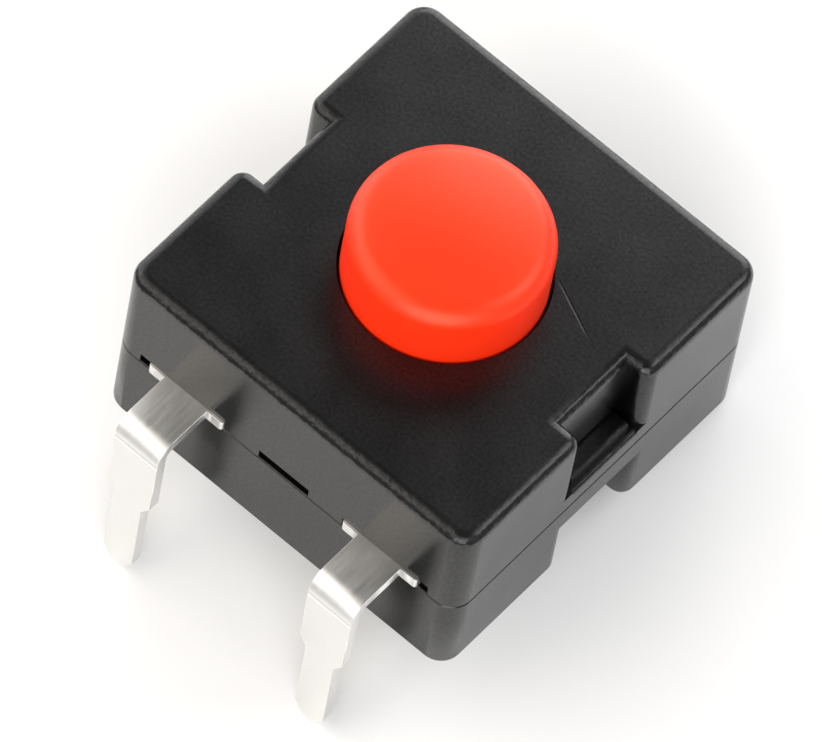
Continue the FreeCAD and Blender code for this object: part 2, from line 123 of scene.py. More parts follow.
class HousingSettings(bpy.types.PropertyGroup):
    side: length("Side", "Length of each side of the square housing", 12.0)
    corner_radius: length("Corner radius", "Rounding of the four upright edges", 0.65)
    top_edge_radius: length("Top edge radius", "Rounding of the rim of the top face", 0.36)
    parting_bevel: length("Parting bevel", "Bevel on both halves along the parting line", 0.045)
    foot_bevel: length("Foot bevel", "Bevel round the underside", 0.1)
    notch_width: length("Notch width", "Width of the snap notch in each side", 2.6)
    notch_depth: length("Notch depth", "Depth of the snap notch", 0.76)
    mouth_radius: length("Mouth radius", "Rounding where the notch opens", 0.42)
    bar_height: length("Bar height", "Height of the bar that the hook holds down", 0.65)
    bar_thickness: length("Bar thickness", "Thickness of the bar that the hook holds down", 0.68)
    bar_edge: length("Bar edge", "Rounding of the bar's upper outer edge", 0.15)
    strip_height: length("Strip height", "Height of the base's full square edge", 0.85)
    wall: length("Wall", "Thickness of the side walls", 0.9)
    cavity_radius: length("Cavity radius", "Rounding of the cavity's upright corners", 0.4)
    roof: length("Roof", "Thickness of the cover's top", 0.95)
    floor: length("Floor", "Thickness of the base's bottom", 0.75)
    bore_radius: length("Bore radius", "Radius of the hole for the button", 2.88)
    bore_edge: length("Bore edge", "Small rounding of the hole's rim", 0.04)
    cheek_width: length("Cheek width", "Width of the thicker wall behind a notch", 3.7)
    cheek_thickness: length("Cheek thickness", "Thickness of the wall behind a notch", 0.74)
    slot_start: length("Slot start", "Distance of a terminal slot's inner end from the middle", 2.05)
    slot_end: length("Slot end", "Distance of a terminal slot's outer end from the middle", 5.05)
    slot_height: length("Slot height", "Height of the two terminal slots", 0.37)
    middle_slot_width: length("Middle slot width", "Width of the empty slot between the terminals", 1.74)
    middle_slot_height: length("Middle slot height", "Height of the empty slot", 0.38)
    plastic: colour("Plastic", "Colour of the black plastic", "#050506")


class RatchetSettings(bpy.types.PropertyGroup):
    groove_radius: length("Groove radius", "Radius of the grooves in the sleeve", 3.4)
    sleeve_wall: length("Sleeve wall", "Thickness of the sleeve", 0.6)
    sleeve_length: length("Sleeve length", "How far the sleeve hangs under the top", 1.75)
    first_rib_start: angle("First rib start", "Where the first rib begins", 17.5)
    rib_step: angle("Rib step", "Where the ribs' sloping ends meet", 46.5)
    second_rib_end: angle("Second rib end", "Where the second rib ends", 72.5)
    latched_level: length("Latched level", "Level that a lug rests at when the switch is locked", 3.788)
    step_drop: length("Step drop", "How far the second rib starts below the first", 0.3)
    tooth_height: length("Tooth height", "Rise of one saw tooth", 0.35)


class HookSettings(bpy.types.PropertyGroup):
    thickness: length("Thickness", "Thickness of the springy arm", 0.56)
    width: length("Width", "Width of the arm", 2.3)
    reach: length("Reach", "How far the nose stands out over the bar", 0.54)
    lift: length("Lift", "Gap between the nose and the bar", 0.02)
    nose_height: length("Nose height", "Height of the nose over the bar", 0.34)
    lead_radius: length("Lead radius", "Rounding that leads the nose past the bar", 0.12)
    back_radius: length("Back radius", "Rounding of the arm's back edge", 0.08)
    root_width: length("Root width", "Width of the arm's root", 3.5)
    headroom: length("Headroom", "Room above the arm in its window", 0.15)
    clearance: length("Clearance", "Room round the arm in its window", 0.13)


class FittingSettings(bpy.types.PropertyGroup):
    lip_height: length("Lip height", "Height of the locating lip", 0.45)
    lip_thickness: length("Lip thickness", "Thickness of the locating lip", 0.45)
    lip_clearance: length("Lip clearance", "Room between the lip and the cover's wall", 0.06)
    lip_start: length("Lip start", "How far in front of the middle the lip ends", 3.4)
    pad_width: length("Pad width", "Width of the ledge under a terminal's arm", 1.3)
    pad_centre: length("Pad centre", "Distance of the ledge from the middle", 3.0)
    pad_end: length("Pad end", "How far past the middle the ledge runs", 1.05)
    pad_level: length("Pad level", "Level of the ledge's top", 1.1)
    peg_radius: length("Peg radius", "Radius of the locating peg", 0.25)
    peg_top: length("Peg top", "Level of the peg's top", 1.8)
    peg_setback: length("Peg setback", "Distance of the peg in front of the middle", 3.0)
    guide_start: length("Guide start", "Inner face of a guide post", 3.62)
    guide_width: length("Guide width", "Width of a guide post", 0.68)
    guide_gap: length("Guide gap", "Distance of a guide post from the middle line", 0.86)
    guide_depth: length("Guide depth", "Depth of a guide post", 0.55)
    guide_top: length("Guide top", "Level of the guide posts' tops", 3.6)
    well_radius: length("Well radius", "Radius of the well under the rotor's stem", 1.6)
    well_floor: length("Well floor", "Level of the well's floor", 0.45)
    pin_radius: length("Pin radius", "Radius of the pin inside the return spring", 0.32)
    pin_top: length("Pin top", "Level of the top of the pin", 1.6)
    mark_radius: length("Mark radius", "Radius of an ejector mark", 0.55)
    mark_depth: length("Mark depth", "Depth of an ejector mark", 0.05)
    mark_offset: length("Mark offset", "Distance of an ejector mark from both middle lines", 4.1)


class ButtonSettings(bpy.types.PropertyGroup):
    radius: length("Radius", "Radius of the round button", 2.8)
    rim_radius: length("Rim radius", "Rounding of the top edge", 0.5)
    crown_height: length("Crown height", "How far the middle of the top stands over its edge", 0.3)
    bore_radius: length("Bore radius", "Radius of the hollow inside", 2.1)
    top_wall: length("Top wall", "Thickness of the top", 1.25)
    plastic: colour("Plastic", "Colour of the orange plastic", "#FC2F0A")


class TerminalSettings(bpy.types.PropertyGroup):
    thickness: length("Thickness", "Thickness of the strip", 0.35)
    spacing: length("Spacing", "Distance between the two pins", 6.8)
    reach: length("Reach", "Distance from the wall to the outer face of the leg", 1.97)
    leg_width: length("Leg width", "Width of the leg below the fold", 1.5)
    shoulder_level: length("Shoulder level", "Level at which the leg starts to narrow", 0.4)
    pin_width: length("Pin width", "Width of the pin", 1.0)
    tip_width: length("Tip width", "Width of the tapered tip", 0.4)
    tip_height: length("Tip height", "Height of the taper", 0.45)
    tip_radius: length("Tip radius", "Rounding of the tip's corners", 0.1)
    taper_radius: length("Taper radius", "Rounding where the taper starts", 0.15)
    plate_width: length("Plate width", "Width of the strip in the wall", 2.6)
    plate_proud: length("Plate proud", "How far the wide part stands out of the wall", 0.08)
    fold_radius: length("Fold radius", "Inner radius of the outer fold", 0.25)
    crease_drop: length("Crease drop", "Distance of the press line under the top", 0.72)
    crease_radius: length("Crease radius", "Radius of the press line's tool", 0.09)
    crease_depth: length("Crease depth", "Depth of the press line", 0.035)
    arm_width: length("Arm width", "Width of the arm inside the housing", 1.1)
    arm_centre: length("Arm centre", "Distance of the arm from the middle", 3.0)
    arm_gap: length("Arm gap", "Room between the wall and the arm's drop", 0.12)
    arm_fold_radius: length("Arm fold radius", "Inner radius of the arm's folds", 0.1)
    arm_end: length("Arm end", "How far past the middle the arm runs", 0.95)
    contact_hole: length("Contact hole", "Radius of the hole for the contact's shank", 0.25)
    peg_hole: length("Peg hole", "Radius of the hole for the base's peg", 0.3)
    tab_radius: length("Tab radius", "Rounding of the corners beside the leg", 0.09)
    stamped_edge: length("Stamped edge", "Rounding that stamping leaves on the edges", 0.055)
    plating: colour("Plating", "Colour of the tin plate", "#EAE9E6")


class SpringSettings(bpy.types.PropertyGroup):
    return_radius: length("Return radius", "Radius of the return spring", 0.5)
    return_wire: length("Return wire", "Radius of the return spring's wire", 0.08)
    return_turns: count("Return turns", "Turns of the return spring, with its two end turns", 6)
    contact_radius: length("Contact radius", "Radius of the contact spring", 1.33)
    contact_wire: length("Contact wire", "Radius of the contact spring's wire", 0.1)
    contact_turns: count("Contact turns", "Turns of the contact spring, with its two end turns", 3)
    press: length("Press", "How far the button goes down", 1.8)
    contact_travel: length("Contact travel", "How far the contact bridge goes down", 0.8)


class StageSettings(bpy.types.PropertyGroup):
    azimuth: angle("Azimuth", "Camera's turn about the button, from straight in front", 31.08)
    elevation: angle("Elevation", "Camera's angle above the underside's plane", 59.36)
    roll: angle("Roll", "Camera's turn about its line of sight", 11.58)
    distance: length("Distance", "Camera's distance from the point it looks at", 461.7)
    aim: bpy.props.FloatVectorProperty(
        name="Aim", description="Point that the camera looks at", size=3, subtype="TRANSLATION",
        unit="LENGTH", default=(0.31 * MM, -1.2 * MM, 3.0 * MM), precision=5,
    )
    lens: number("Lens", "Focal length on a sensor 36 mm wide, in millimetres", 765.16)
    floor_radius: length("Floor radius", "Radius of the round floor", 28.0)
    surround: number("Surround", "Strength of the light from all round at the floor's level", 0.5)
    ceiling: number("Ceiling", "Strength of the light from overhead", 0.1)
    lights: number("Lights", "Strength of the six soft lights", 1.0)
    floor_colour: colour("Floor", "Colour of the floor", "#EAEAEA")


class Millimetres:
    """Reads the lengths of a settings group in millimetres."""

    def __init__(self, group):
        self.group = group

    def __getattr__(self, name):
        return getattr(self.group, name) / MM


# Solids in millimetres


def new_prism(outline, low, high):
    """Upright solid on a plan outline of (x, y) corners."""
    bm = bmesh.new()
    foot = bm.faces.new([bm.verts.new((x, y, low)) for x, y in outline])
    raised = bmesh.ops.extrude_face_region(bm, geom=[foot])["geom"]
    top_verts = [part for part in raised if isinstance(part, bmesh.types.BMVert)]
    bmesh.ops.translate(bm, verts=top_verts, vec=(0, 0, high - low))
    bmesh.ops.recalc_face_normals(bm, faces=bm.faces)
    return bm


def new_block(low, high):
    """Box between two corners."""
    bm = bmesh.new()
    bmesh.ops.create_cube(bm, size=1.0)
    size = Vector(high) - Vector(low)
    bmesh.ops.scale(bm, verts=bm.verts, vec=size)
    bmesh.ops.translate(bm, verts=bm.verts, vec=Vector(low) + size / 2)
    return bm


def new_rod(radius, low, high, x=0.0, y=0.0, sides=48):
    """Upright cylinder."""
    bm = bmesh.new()
    bmesh.ops.create_cone(
        bm, cap_ends=True, segments=sides, radius1=radius, radius2=radius, depth=high - low,
    )
    bmesh.ops.translate(bm, verts=bm.verts, vec=(x, y, (low + high) / 2))
    return bm


def new_turned(profile, steps):
    """Round solid from a closed (radius, level) profile spun about Z."""
    bm = bmesh.new()
    verts = [bm.verts.new((radius, 0, level)) for radius, level in profile]
    edges = [
        bm.edges.new((verts[i - 1], verts[i])) for i in range(len(verts))
        if max(profile[i - 1][0], profile[i][0]) > 0
    ]
    bmesh.ops.spin(
        bm, geom=verts + edges, cent=(0, 0, 0), axis=(0, 0, 1), dvec=(0, 0, 0),
        angle=FULL_TURN, steps=steps, use_merge=True, use_duplicate=False,
    )
    bmesh.ops.remove_doubles(bm, verts=bm.verts, dist=1e-3)
    bmesh.ops.recalc_face_normals(bm, faces=bm.faces)
    return bm


def faces_among(parts):
    return [part for part in parts if isinstance(part, bmesh.types.BMFace)]


def sweep(bm, faces, turn, steps, centre=(0, 0, 0), axis=(0, 0, 1), climb=0.0):
    """Sweeps faces round an axis, up by climb each step, and returns the faces at the far end."""
    made = bmesh.ops.spin(
        bm, geom=faces, cent=centre, axis=axis, dvec=(0, 0, climb),
        angle=turn, steps=steps, use_merge=False, use_duplicate=False,
    )
    return faces_among(made["geom_last"])


def new_ramp(inner, outer, start, finish, level, z_start, z_finish):
    """Part of a ring, flat at one level, whose other face climbs evenly with the angle."""
    bm = bmesh.new()
    corners = ((inner, level), (outer, level), (outer, z_start), (inner, z_start))
    section = bm.faces.new([bm.verts.new((radius, 0, z)) for radius, z in corners])
    turn = finish - start
    sweep(bm, [section], turn, steps=12)
    for vert in bm.verts:
        if abs(vert.co.z - z_start) < 1e-6:
            share = math.atan2(vert.co.y, vert.co.x) / turn
            vert.co.z += share * (z_finish - z_start)
    bmesh.ops.rotate(bm, verts=bm.verts, cent=(0, 0, 0), matrix=Matrix.Rotation(start, 3, "Z"))
    bmesh.ops.recalc_face_normals(bm, faces=bm.faces)
    return bm


def bevel(bm, edges, radius, segments, clamp=False):
    bmesh.ops.bevel(
        bm, geom=edges, offset=radius, offset_type="OFFSET", segments=segments,
        affect="EDGES", profile=0.5, material=-1, clamp_overlap=clamp,
    )


def round_edges(bm, chosen, radius, segments):
    """Rounds the edges that chosen(start, end) picks."""
    edges = [edge for edge in bm.edges if chosen(edge.verts[0].co, edge.verts[1].co)]
    bevel(bm, edges, radius, segments)


def edges_at(places, first, second):
    """Picks the edges square to two axes that pass through one of the places on those axes."""
    def chosen(start, end):
        middle = (start + end) / 2
        square = math.hypot(start[first] - end[first], start[second] - end[second]) < 1e-4
        return square and any(
            math.hypot(middle[first] - a, middle[second] - b) < 1e-3 for a, b in places
        )
    return chosen


def upright_at(places):
    """Picks the upright edges that stand at one of the (x, y) places."""
    return edges_at(places, 0, 1)


def across_at(places):
    """Picks the edges along Y that lie at one of the (x, z) places."""
    return edges_at(places, 0, 2)


def level_at(level):
    """Picks the edges that lie wholly at one level."""
    return lambda start, end: abs(start.z - level) < 1e-4 and abs(end.z - level) < 1e-4


def both_sides(low, high):
    """The corners of a box on the right of the middle plane, and of its mirror image."""
    return (low, high), ((-high[0], low[1], low[2]), (-low[0], high[1], high[2]))


# From solids to finished pieces


def to_object(bm, name):
    mesh = bpy.data.meshes.new(name)
    bm.to_mesh(mesh)
    bm.free()
    obj = bpy.data.objects.new(name, mesh)
    bpy.context.scene.collection.objects.link(obj)
    return obj


def combine(obj, tool_bm, operation):
    """Joins obj's solid with another, or cuts it, and leaves one plain mesh."""
    tool = to_object(tool_bm, "tool")
    modifier = obj.modifiers.new("combine", "BOOLEAN")
    modifier.operation = operation
    modifier.solver = "EXACT"
    modifier.object = tool
    depsgraph = bpy.context.evaluated_depsgraph_get()
    made = bpy.data.meshes.new_from_object(obj.evaluated_get(depsgraph))
    obj.modifiers.clear()
    plain = obj.data
    name = plain.name
    obj.data = made
    bpy.data.meshes.remove(plain)
    bpy.data.meshes.remove(tool.data)
    made.name = name
    if not made.polygons:
        raise RuntimeError(obj.name + " came out empty")


def taken_from(obj):
    """The solid of a helper object, which goes."""
    bm = bmesh.new()
    bm.from_mesh(obj.data)
    bpy.data.meshes.remove(obj.data)
    return bm


def join(obj, tool_bm):
    combine(obj, tool_bm, "UNION")


def cut(obj, tool_bm):
    combine(obj, tool_bm, "DIFFERENCE")


def join_blocks(obj, corners):
    for low, high in corners:
        join(obj, new_block(low, high))


def cut_blocks(obj, corners):
    for low, high in corners:
        cut(obj, new_block(low, high))


def finish_piece(obj, body, material, replaced):
    """Cleans the mesh, marks its sharp edges, brings it to metres and fits it to the frame."""
    sharp_angle = math.radians(35)
    bm = bmesh.new()
    bm.from_mesh(obj.data)
    bmesh.ops.remove_doubles(bm, verts=bm.verts, dist=1e-4)
    bmesh.ops.dissolve_degenerate(bm, edges=bm.edges, dist=1e-4)
    for face in bm.faces:
        face.smooth = True
    for edge in bm.edges:
        edge.smooth = not edge.is_manifold or edge.calc_face_angle(0.0) < sharp_angle
    bmesh.ops.scale(bm, verts=bm.verts, vec=(MM, MM, MM))
    bm.to_mesh(obj.data)
    bm.free()
    obj.data.materials.clear()
    obj.data.materials.append(material)
    shading = obj.modifiers.new("shading", "WEIGHTED_NORMAL")
    shading.keep_sharp = True
    shading.weight = 100
    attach(obj, body)
    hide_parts(replaced)


# Materials


def new_material(name):
    """An empty material, ready for nodes."""
    material = bpy.data.materials.new(name)
    material.use_nodes = True
    material.node_tree.nodes.clear()
    return material, material.node_tree


def add_node(tree, kind, settings=None, links=None):
    """Adds a node: settings fill its attributes or its sockets, links feed its sockets."""
    node = tree.nodes.new(kind)
    for name, value in (settings or {}).items():
        if isinstance(name, int) or name in node.inputs:
            node.inputs[name].default_value = value
        else:
            setattr(node, name, value)
    for name, output in (links or {}).items():
        tree.links.new(output, node.inputs[name])
    return node


def opaque(rgb):
    return (*rgb, 1.0)


def calculate(tree, operation, *terms):
    """Result of a maths node whose terms are numbers or other nodes' outputs."""
    node = tree.nodes.new("ShaderNodeMath")
    node.operation = operation
    for socket, term in zip(node.inputs, terms):
        if isinstance(term, float):
            socket.default_value = term
        else:
            tree.links.new(term, socket)
    return node.outputs["Value"]


def noise(tree, place, size_mm, detail=2.0):
    """Even noise whose patches are about as wide as size_mm."""
    return add_node(
        tree, "ShaderNodeTexNoise", {"Scale": 1 / (size_mm * MM), "Detail": detail},
        {"Vector": place},
    ).outputs["Fac"]


def spread(tree, value, low, high, from_low=0.3, from_high=0.7):
    """Brings a value from one range, by default the middle of a noise, to another and holds it there."""
    return add_node(
        tree, "ShaderNodeMapRange",
        {"From Min": from_low, "From Max": from_high, "To Min": low, "To Max": high},
        {"Value": value},
    ).outputs["Result"]


def finish_material(material, settings, links):
    """Puts the surface shader and the output on a material."""
    tree = material.node_tree
    surface = add_node(tree, "ShaderNodeBsdfPrincipled", settings, links)
    add_node(tree, "ShaderNodeOutputMaterial", {}, {"Surface": surface.outputs["BSDF"]})
    return material


def hairline(tree, place):
    """One fine scratch on the cover's top: 1 along the line, 0 beside it and past its ends."""
    across = (0.416, 0.909, 0.0)
    along = (0.909, -0.416, 0.0)
    masks = []
    for direction, middle, faded_at, full_at in ((across, 2.659, 0.045, 0.0), (along, 2.3, 1.0, 0.6)):
        spot = add_node(
            tree, "ShaderNodeVectorMath", {"operation": "DOT_PRODUCT", 1: direction}, {0: place},
        )
        offset = calculate(tree, "SUBTRACT", spot.outputs["Value"], middle * MM)
        distance = calculate(tree, "ABSOLUTE", offset)
        masks.append(spread(tree, distance, 0.0, 1.0, faded_at * MM, full_at * MM))
    return calculate(tree, "MULTIPLY", *masks)


def bump(tree, height, depth_mm, strength=1.0, below=None):
    """Surface relief of the given depth, over another one if it is given."""
    links = {"Height": height}
    if below:
        links["Normal"] = below
    settings = {"Strength": strength, "Distance": depth_mm * MM}
    return add_node(tree, "ShaderNodeBump", settings, links).outputs["Normal"]


def moulded_black_plastic(name, rgb, scratched):
    """Black ABS from a spark-eroded mould: grained, smoother on the walls, rough along the rims.

    The grain and the flecks are drawn coarser than such a mould leaves them, so that they show.
    """
    material, tree = new_material(name)
    texture = add_node(tree, "ShaderNodeTexCoord")
    place = texture.outputs["Object"]
    facing = add_node(tree, "ShaderNodeSeparateXYZ", {}, {"Vector": texture.outputs["Normal"]})
    # 1 on the flat top and 0 on the walls, which slide out of the mould and come out smoother.
    upward = facing.outputs["Z"]
    base_gloss = spread(tree, upward, 0.22, 0.32, 0.5, 0.98)
    uneven = spread(tree, noise(tree, place, 1.6), -0.04, 0.04, 0.2, 0.8)
    grain = noise(tree, place, 0.1, 3.0)
    relief = bump(tree, grain, 0.012, 0.2)
    # Only the rounded rims between wall and top have the coarser flecks.
    rising = spread(tree, upward, 0.0, 1.0, 0.12, 0.4)
    falling = spread(tree, upward, 1.0, 0.0, 0.8, 0.97)
    rim = calculate(tree, "MULTIPLY", rising, falling)
    flecks = calculate(tree, "MULTIPLY", rim, noise(tree, place, 0.2))
    relief = bump(tree, flecks, 0.05, 0.6, relief)
    if scratched:
        relief = bump(tree, hairline(tree, place), -0.01, 0.6, relief)
    return finish_material(
        material, {"Base Color": opaque(rgb), "IOR": 1.5},
        {
            "Roughness": calculate(tree, "ADD", base_gloss, uneven), "Normal": relief,
            "Specular IOR Level": spread(tree, grain, 0.33, 0.59, 0.25, 0.75),
        },
    )


def moulded_orange_plastic(rgb):
    """Orange ABS from a polished mould: satin, with faint unevenness in its gloss.

    The warm tint of its reflections isn't physical: it brings them near the photo's colours.
    """
    material, tree = new_material("moulded_orange_abs")
    place = add_node(tree, "ShaderNodeTexCoord")
    roughness = spread(tree, noise(tree, place.outputs["Object"], 1.2), 0.37, 0.43, 0.1, 0.9)
    return finish_material(
        material,
        {"Base Color": opaque(rgb), "IOR": 1.5, "Specular Tint": opaque(linear("#FFF0C8"))},
        {"Roughness": roughness},
    )


def bright_tin_plate(rgb):
    """Brass strip, rolled and then tin plated: bright, with soft rolling lines along the strip.

    The lines are drawn wider than rolling leaves them, so that they show.
    """
    material, tree = new_material("tin_plated_brass")
    place = add_node(tree, "ShaderNodeTexCoord")
    stretch = add_node(
        tree, "ShaderNodeMapping", {"Scale": (1.0, 0.12, 0.12)}, {"Vector": place.outputs["Object"]},
    )
    lines = noise(tree, stretch.outputs["Vector"], 0.12)
    rolled = bump(tree, lines, 0.004, 0.05)
    return finish_material(
        material, {"Base Color": opaque(rgb), "Metallic": 1.0},
        {"Roughness": spread(tree, lines, 0.38, 0.46), "Normal": rolled},
    )


def plain_metal(name, hex_value, low_roughness, high_roughness, grain_mm):
    """A drawn or stamped metal of one colour whose gloss varies with its fine grain."""
    material, tree = new_material(name)
    place = add_node(tree, "ShaderNodeTexCoord")
    roughness = spread(
        tree, noise(tree, place.outputs["Object"], grain_mm), low_roughness, high_roughness,
    )
    return finish_material(
        material, {"Base Color": opaque(linear(hex_value)), "Metallic": 1.0},
        {"Roughness": roughness},
    )


def moulded_acetal():
    """Natural acetal: milky white and slightly waxy."""
    material, tree = new_material("moulded_acetal")
    place = add_node(tree, "ShaderNodeTexCoord")
    roughness = spread(tree, noise(tree, place.outputs["Object"], 0.8), 0.35, 0.45)
    return finish_material(
        material,
        {
            "Base Color": opaque(linear("#EDEBE2")),
            "Subsurface Weight": 0.2, "Subsurface Scale": 0.3 * MM,
        },
        {"Roughness": roughness},
    )


def white_board(rgb):
    """Light matt card under the switch."""
    material, tree = new_material("white_board")
    surface = add_node(tree, "ShaderNodeBsdfDiffuse", {"Color": opaque(rgb)})
    add_node(tree, "ShaderNodeOutputMaterial", {}, {"Surface": surface.outputs["BSDF"]})
    return material


# Housing


def square_outline(half):
    return [(half, -half), (half, half), (-half, half), (-half, -half)]


def square_block(half, radius, low, high):
    """Square solid with rounded upright edges."""
    bm = new_prism(square_outline(half), low, high)
    round_edges(bm, upright_at(square_outline(half)), radius, segments=12)
    return bm


def notched_block(size, low, high):
    """Solid with the housing's plan: a square with a notch in its left and right sides."""
    half = size.side / 2
    notch_half = size.notch_width / 2
    notch_floor = half - size.notch_depth
    right = [
        (half, -half), (half, -notch_half), (notch_floor, -notch_half),
        (notch_floor, notch_half), (half, notch_half), (half, half),
    ]
    bm = new_prism(right + [(-x, y) for x, y in reversed(right)], low, high)
    round_edges(bm, upright_at(square_outline(half)), size.corner_radius, segments=12)
    mouths = [(x, y) for x in (-half, half) for y in (-notch_half, notch_half)]
    round_edges(bm, upright_at(mouths), size.mouth_radius, segments=8)
    return bm


class SWITCH_OT_cover(bpy.types.Operator):
    """Model the cover: rounded top, notches, button hole, slots, hook windows and ratchet sleeve"""

    bl_idname = "switch.cover"
    bl_label = "Cover"

    def execute(self, context):
        size = Millimetres(context.scene.switch_housing)
        hook = Millimetres(context.scene.switch_hooks)
        foot = foot_of("cover")
        top = top_of("cover")
        roof = top - size.roof
        cover = self.shell(size, foot, top)
        inside = size.side / 2 - size.wall
        cut(cover, square_block(inside, size.cavity_radius, foot - PAST, roof))
        self.fit_hooks(cover, size, hook, foot, roof)
        self.cut_slots(cover, size, foot, inside)
        self.add_sleeve(cover, size, context.scene.switch_ratchet, roof)
        self.drill(cover, size, foot, top)
        plastic = context.scene.switch_housing.plastic
        material = moulded_black_plastic("moulded_black_abs_cover", plastic, True)
        finish_piece(cover, "housing", material, "cover")
        return {"FINISHED"}

    def shell(self, size, foot, top):
        bar_top = foot + size.bar_height
        block = notched_block(size, bar_top, top)
        round_edges(block, level_at(top), size.top_edge_radius, segments=8)
        cover = to_object(block, "cover_moulding")
        skirt = square_block(size.side / 2, size.corner_radius, foot, bar_top)
        round_edges(skirt, level_at(foot), size.parting_bevel, segments=1)
        join(cover, skirt)
        self.round_bars(cover, size, bar_top)
        return cover

    def round_bars(self, cover, size, bar_top):
        """Rounds the upper outer edge of both latch bars."""
        edge = size.bar_edge
        outer = size.side / 2
        half = size.notch_width / 2
        corners = both_sides(
            (outer - edge, -half, bar_top - edge), (outer + PAST, half, bar_top + 2 * HAIR),
        )
        lie_down = Matrix.Rotation(QUARTER_TURN, 4, "X")
        for low, high in corners:
            waste = to_object(new_block(low, high), "waste")
            round_bar = new_rod(edge, -half - PAST, half + PAST)
            bmesh.ops.transform(round_bar, matrix=lie_down, verts=round_bar.verts)
            centre_x = math.copysign(outer - edge, low[0] + high[0])
            bmesh.ops.translate(round_bar, verts=round_bar.verts, vec=(centre_x, 0, bar_top - edge))
            cut(waste, round_bar)
            cut(cover, taken_from(waste))

    def fit_hooks(self, cover, size, hook, foot, roof):
        """Thickens the wall behind each notch, then opens the hook's way through it."""
        floor_of_notch = size.side / 2 - size.notch_depth
        half = size.cheek_width / 2
        back = floor_of_notch - size.cheek_thickness
        behind_bar = (floor_of_notch + OVERLAP, half, foot + size.bar_height - OVERLAP)
        behind_notch = (floor_of_notch - HAIR, half, roof + OVERLAP)
        for front_corner in (behind_bar, behind_notch):
            join_blocks(cover, both_sides((back, -half, foot), front_corner))
        window_half = hook.width / 2 + hook.clearance
        cut_blocks(cover, both_sides(
            (floor_of_notch - hook.thickness - hook.clearance, -window_half, foot - PAST),
            (
                size.side / 2 - size.bar_thickness, window_half,
                foot + size.bar_height + hook.lift + hook.nose_height + hook.headroom,
            ),
        ))

    def cut_slots(self, cover, size, foot, inside):
        """Cuts the two terminal slots and the empty one in the foot of the front wall."""
        front = -size.side / 2 - PAST
        back = PAST - inside
        below = foot - PAST
        half = size.middle_slot_width / 2
        cut_blocks(cover, (
            *both_sides((size.slot_start, front, below), (size.slot_end, back, foot + size.slot_height)),
            ((-half, front, below), (half, back, foot + size.middle_slot_height)),
        ))

    def add_sleeve(self, cover, size, angles, roof):
        """Hangs the ratchet's sleeve and its eight ribs under the top."""
        ratchet = Millimetres(angles)
        inner = ratchet.groove_radius
        outer = inner + ratchet.sleeve_wall
        low = roof - ratchet.sleeve_length
        above = roof + OVERLAP
        join(cover, new_turned([(inner, low), (outer, low), (outer, above), (inner, above)], steps=96))
        slope = ratchet.tooth_height / (FULL_TURN / TEETH)
        step = angles.rib_step
        latched = ratchet.latched_level
        lower = latched - ratchet.step_drop
        for pair in range(RIB_PAIRS):
            turn = pair * FULL_TURN / RIB_PAIRS
            first_low = latched - slope * (step - angles.first_rib_start)
            second_high = lower + slope * (angles.second_rib_end - step)
            for start, finish, z_start, z_finish in (
                (angles.first_rib_start, step, first_low, latched),
                (step, angles.second_rib_end, lower, second_high),
            ):
                join(cover, new_ramp(
                    size.bore_radius - OVERLAP / 2, inner + ratchet.sleeve_wall / 2,
                    turn + start, turn + finish, above, z_start, z_finish,
                ))

    def drill(self, cover, size, foot, top):
        """Drills the button's hole, with a fine rounding at its rim."""
        bore = size.bore_radius
        edge = size.bore_edge
        inward = edge * 0.3
        cut(cover, new_turned([
            (0.0, foot - PAST), (bore, foot - PAST), (bore, top - edge),
            (bore + inward, top - inward), (bore + edge, top),
            (bore + edge, top + PAST), (0.0, top + PAST),
        ], ROUND_STEPS))


